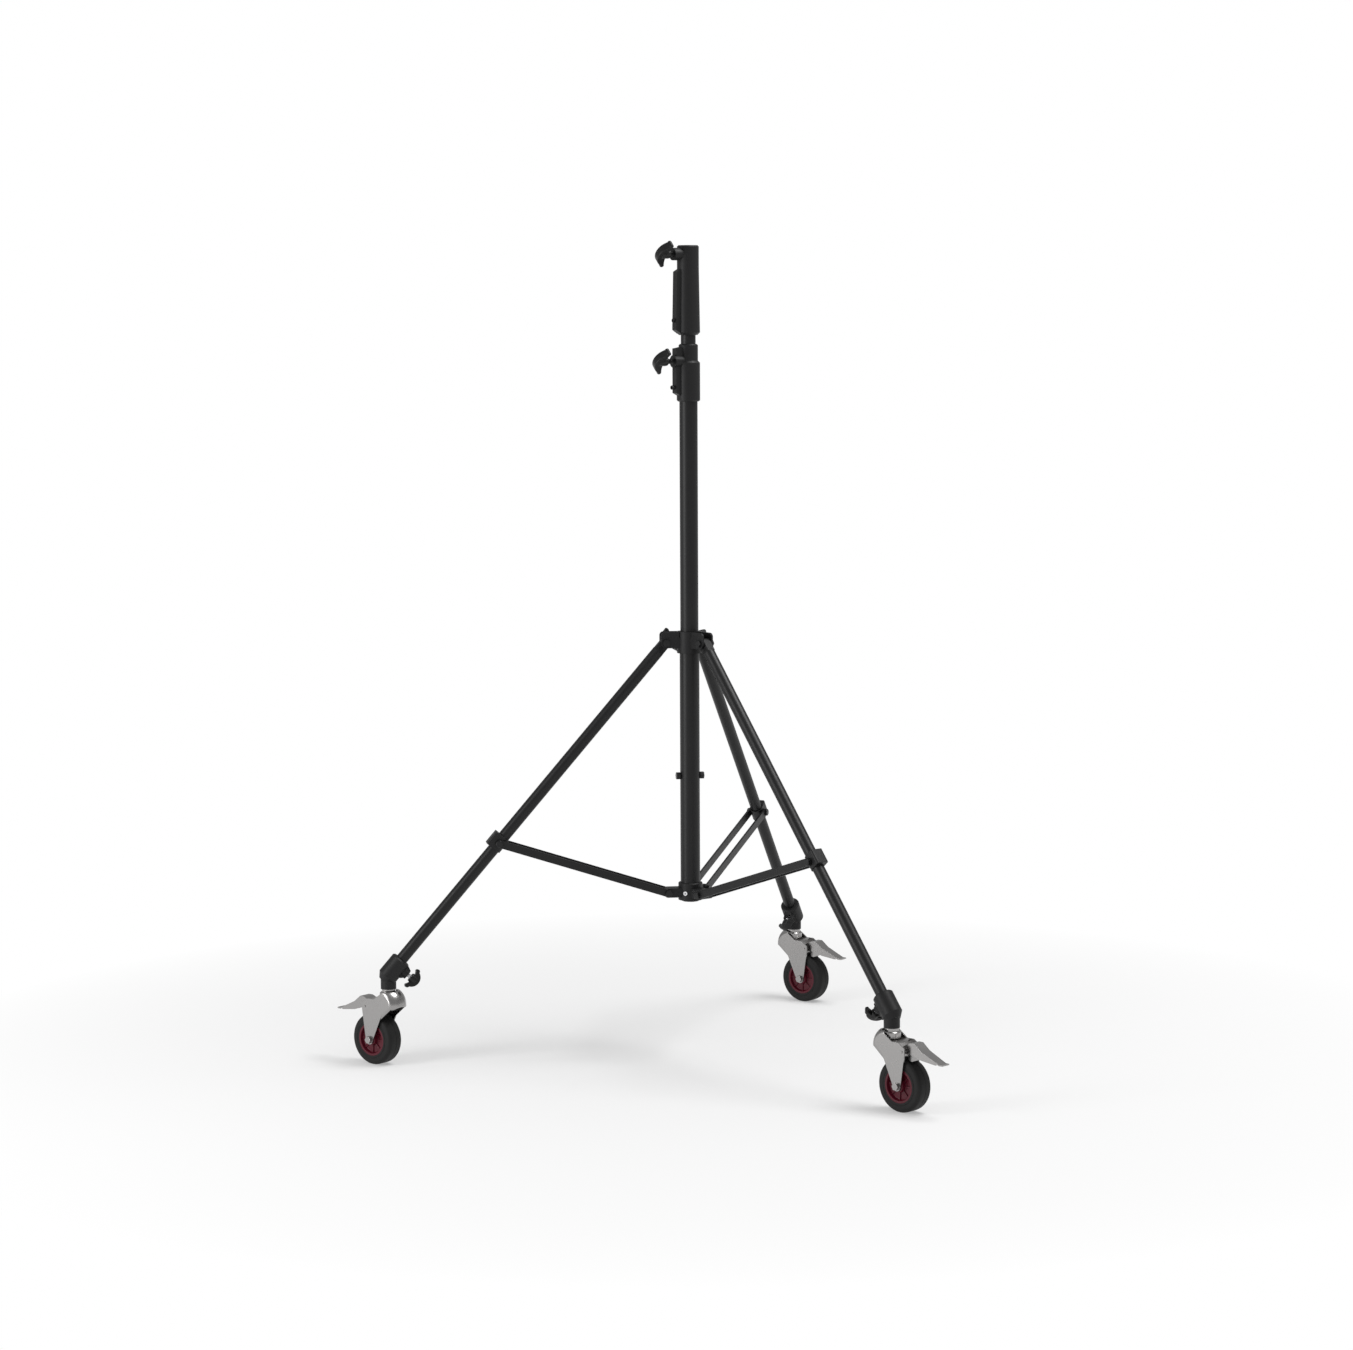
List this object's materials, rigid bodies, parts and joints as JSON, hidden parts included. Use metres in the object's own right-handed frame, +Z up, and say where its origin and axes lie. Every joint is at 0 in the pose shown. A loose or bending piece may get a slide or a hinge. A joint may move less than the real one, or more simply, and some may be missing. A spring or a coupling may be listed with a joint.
{
  "type": "rolling light stand",
  "caption": "Rolling lighting stand: folding braced tripod base on braked swivel casters, telescoping riser with T-knob clamps, and a spigot receiver on top.",
  "frame": {"origin": "on the floor, under the column's axis", "axes": "+Z up along the column towards the receiver; the rear leg points along +Y, and the other two legs are 120 degrees either side of it"},
  "size_m": [1.2693, 0.9708, 1.5849],
  "materials": {
    "black_tube": "satin black powder coat on steel tube",
    "black_casting": "satin black powder coat on a casting",
    "black_plastic": "matte black plastic",
    "black_hardware": "black oxide steel",
    "bright_screw": "bright zinc-plated steel",
    "bright_zinc": "bright plated pressed steel",
    "knob_plastic": "satin black moulded plastic",
    "nylon": "natural nylon",
    "wheel_rubber": "matte black solid rubber",
    "wheel_hub": "dark red moulded plastic"
  },
  "bodies": {
    "column": {"column_tube": "black_tube", "lower_sleeve": "black_tube", "stop_bolt": "black_hardware", "brace_collar": "black_casting", "brace_collar_screw": "bright_screw", "brace_pivot_bolts": "black_hardware", "column_end_plug": "black_plastic", "column_clamp": "black_casting", "column_clamp_set_screw": "black_hardware"},
    "riser": {"riser_tube": "black_tube", "receiver": "black_casting", "receiver_set_screw": "black_hardware", "riser_bush": "nylon"},
    "collar": {"leg_collar": "black_casting", "leg_pivot_bolts": "black_hardware"},
    "leg_left": {"leg_tube_left": "black_tube", "leg_head_left": "black_casting", "brace_bracket_left": "black_tube", "foot_socket_left": "black_casting", "caster_stem_left": "bright_zinc"},
    "leg_right": {"leg_tube_right": "black_tube", "leg_head_right": "black_casting", "brace_bracket_right": "black_tube", "foot_socket_right": "black_casting", "caster_stem_right": "bright_zinc"},
    "leg_rear": {"leg_tube_rear": "black_tube", "leg_head_rear": "black_casting", "brace_bracket_rear": "black_tube", "foot_socket_rear": "black_casting", "caster_stem_rear": "bright_zinc"},
    "brace_left": {"brace_bars_left": "black_tube", "brace_rivets_left": "black_hardware"},
    "brace_right": {"brace_bars_right": "black_tube", "brace_rivets_right": "black_hardware"},
    "brace_rear": {"brace_bars_rear": "black_tube", "brace_rivets_rear": "black_hardware"},
    "swivel_left": {"caster_fork_left": "bright_zinc", "axle_left": "bright_zinc"},
    "wheel_left": {"tyre_left": "wheel_rubber", "hub_left": "wheel_hub"},
    "brake_left": {"brake_pedal_left": "bright_zinc"},
    "foot_knob_left": {"foot_knob_left": "knob_plastic"},
    "swivel_right": {"caster_fork_right": "bright_zinc", "axle_right": "bright_zinc"},
    "wheel_right": {"tyre_right": "wheel_rubber", "hub_right": "wheel_hub"},
    "brake_right": {"brake_pedal_right": "bright_zinc"},
    "foot_knob_right": {"foot_knob_right": "knob_plastic"},
    "swivel_rear": {"caster_fork_rear": "bright_zinc", "axle_rear": "bright_zinc"},
    "wheel_rear": {"tyre_rear": "wheel_rubber", "hub_rear": "wheel_hub"},
    "brake_rear": {"brake_pedal_rear": "bright_zinc"},
    "foot_knob_rear": {"foot_knob_rear": "knob_plastic"},
    "receiver_pad": {"receiver_pad": "nylon"},
    "receiver_knob": {"receiver_knob": "knob_plastic"},
    "column_clamp_pad": {"column_clamp_pad": "nylon"},
    "column_clamp_knob": {"column_clamp_knob": "knob_plastic"},
    "leg_collar_pad": {"leg_collar_pad": "nylon"},
    "leg_collar_knob": {"leg_collar_knob": "knob_plastic"}
  },
  "joints": [
    {"name": "riser_slide", "type": "slide", "parent": "column", "child": "riser", "axis": [0, 0, 1], "range_m": [0, 0.62]},
    {"name": "collar_slide", "type": "slide", "parent": "column", "child": "collar", "axis": [0, 0, 1], "range_m": [0, 0.3327]},
    {"name": "leg_hinge_left", "type": "hinge", "parent": "collar", "child": "leg_left", "pos_m": [-0.0407, -0.0235, 0.81346], "axis": [0.5, -0.866, 0], "range_deg": [0, 28.5]},
    {"name": "leg_hinge_right", "type": "hinge", "parent": "collar", "child": "leg_right", "pos_m": [0.0407, -0.0235, 0.81346], "axis": [0.5, 0.866, 0], "range_deg": [0, 28.5]},
    {"name": "leg_hinge_rear", "type": "hinge", "parent": "collar", "child": "leg_rear", "pos_m": [0, 0.047, 0.81346], "axis": [-1, 0, 0], "range_deg": [0, 28.5]},
    {"name": "brace_hinge_left", "type": "hinge", "parent": "column", "child": "brace_left", "pos_m": [-0.03897, -0.0225, 0.32411], "axis": [0.5, -0.866, 0], "range_deg": [-54.18, 0]},
    {"name": "brace_hinge_right", "type": "hinge", "parent": "column", "child": "brace_right", "pos_m": [0.03897, -0.0225, 0.32411], "axis": [0.5, 0.866, 0], "range_deg": [-54.18, 0]},
    {"name": "brace_hinge_rear", "type": "hinge", "parent": "column", "child": "brace_rear", "pos_m": [0, 0.045, 0.32411], "axis": [-1, 0, 0], "range_deg": [-54.18, 0]},
    {"name": "caster_swivel_left", "type": "hinge", "parent": "leg_left", "child": "swivel_left", "pos_m": [-0.51146, -0.29529, 0.131], "axis": [0, 0, 1], "continuous": true},
    {"name": "wheel_spin_left", "type": "hinge", "parent": "swivel_left", "child": "wheel_left", "pos_m": [-0.54126, -0.28675, 0.05], "axis": [-0.2756, -0.9613, 0], "continuous": true},
    {"name": "brake_hinge_left", "type": "hinge", "parent": "swivel_left", "child": "brake_left", "pos_m": [-0.55184, -0.28372, 0.115], "axis": [-0.2756, -0.9613, 0], "range_deg": [0, 12]},
    {"name": "foot_knob_turn_left", "type": "hinge", "parent": "leg_left", "child": "foot_knob_left", "pos_m": [-0.47492, -0.27419, 0.17252], "axis": [0.6585, 0.3802, -0.6494], "range_deg": [0, 360]},
    {"name": "caster_swivel_right", "type": "hinge", "parent": "leg_right", "child": "swivel_right", "pos_m": [0.51146, -0.29529, 0.131], "axis": [0, 0, 1], "continuous": true},
    {"name": "wheel_spin_right", "type": "hinge", "parent": "swivel_right", "child": "wheel_right", "pos_m": [0.54021, -0.30691, 0.05], "axis": [0.3746, 0.9272, 0], "continuous": true},
    {"name": "brake_hinge_right", "type": "hinge", "parent": "swivel_right", "child": "brake_right", "pos_m": [0.55041, -0.31103, 0.115], "axis": [0.3746, 0.9272, 0], "range_deg": [0, 12]},
    {"name": "foot_knob_turn_right", "type": "hinge", "parent": "leg_right", "child": "foot_knob_right", "pos_m": [0.47492, -0.27419, 0.17252], "axis": [-0.6585, 0.3802, -0.6494], "range_deg": [0, 360]},
    {"name": "caster_swivel_rear", "type": "hinge", "parent": "leg_rear", "child": "swivel_rear", "pos_m": [0, 0.59059, 0.131], "axis": [0, 0, 1], "continuous": true},
    {"name": "wheel_spin_rear", "type": "hinge", "parent": "swivel_rear", "child": "wheel_rear", "pos_m": [0.02994, 0.58256, 0.05], "axis": [0.2588, 0.9659, 0], "continuous": true},
    {"name": "brake_hinge_rear", "type": "hinge", "parent": "swivel_rear", "child": "brake_rear", "pos_m": [0.04057, 0.57972, 0.115], "axis": [0.2588, 0.9659, 0], "range_deg": [0, 12]},
    {"name": "foot_knob_turn_rear", "type": "hinge", "parent": "leg_rear", "child": "foot_knob_rear", "pos_m": [0, 0.54839, 0.17252], "axis": [0, -0.7604, -0.6494], "range_deg": [0, 360]},
    {"name": "receiver_pad_slide", "type": "slide", "parent": "riser", "child": "receiver_pad", "axis": [-0.5736, -0.8192, 0], "range_m": [-0.0015, 0]},
    {"name": "receiver_knob_turn", "type": "hinge", "parent": "receiver_pad", "child": "receiver_knob", "pos_m": [-0.01296, -0.01851, 1.55912], "axis": [-0.5736, -0.8192, 0], "range_deg": [-360, 0]},
    {"name": "column_clamp_pad_slide", "type": "slide", "parent": "column", "child": "column_clamp_pad", "axis": [-0.5736, -0.8192, 0], "range_m": [0, 0.0015]},
    {"name": "column_clamp_knob_turn", "type": "hinge", "parent": "column_clamp_pad", "child": "column_clamp_knob", "pos_m": [-0.01296, -0.01851, 1.35512], "axis": [-0.5736, -0.8192, 0], "range_deg": [0, 360]},
    {"name": "leg_collar_pad_slide", "type": "slide", "parent": "collar", "child": "leg_collar_pad", "axis": [-0.866, 0.5, 0], "range_m": [0, 0.0015]},
    {"name": "leg_collar_knob_turn", "type": "hinge", "parent": "leg_collar_pad", "child": "leg_collar_knob", "pos_m": [-0.02234, 0.0129, 0.81346], "axis": [-0.866, 0.5, 0], "range_deg": [0, 360]}
  ],
  "couplings": [
    {"joint": "leg_hinge_left", "follows": "collar_slide", "rad_per_m": 1.4951},
    {"joint": "leg_hinge_right", "follows": "collar_slide", "rad_per_m": 1.4951},
    {"joint": "leg_hinge_rear", "follows": "collar_slide", "rad_per_m": 1.4951},
    {"joint": "brace_hinge_left", "follows": "collar_slide", "rad_per_m": -2.8415},
    {"joint": "brace_hinge_right", "follows": "collar_slide", "rad_per_m": -2.8415},
    {"joint": "brace_hinge_rear", "follows": "collar_slide", "rad_per_m": -2.8415},
    {"joint": "receiver_pad_slide", "follows": "receiver_knob_turn", "m_per_rad": 0.00023873},
    {"joint": "column_clamp_pad_slide", "follows": "column_clamp_knob_turn", "m_per_rad": 0.00023873},
    {"joint": "leg_collar_pad_slide", "follows": "leg_collar_knob_turn", "m_per_rad": 0.00023873}
  ]
}
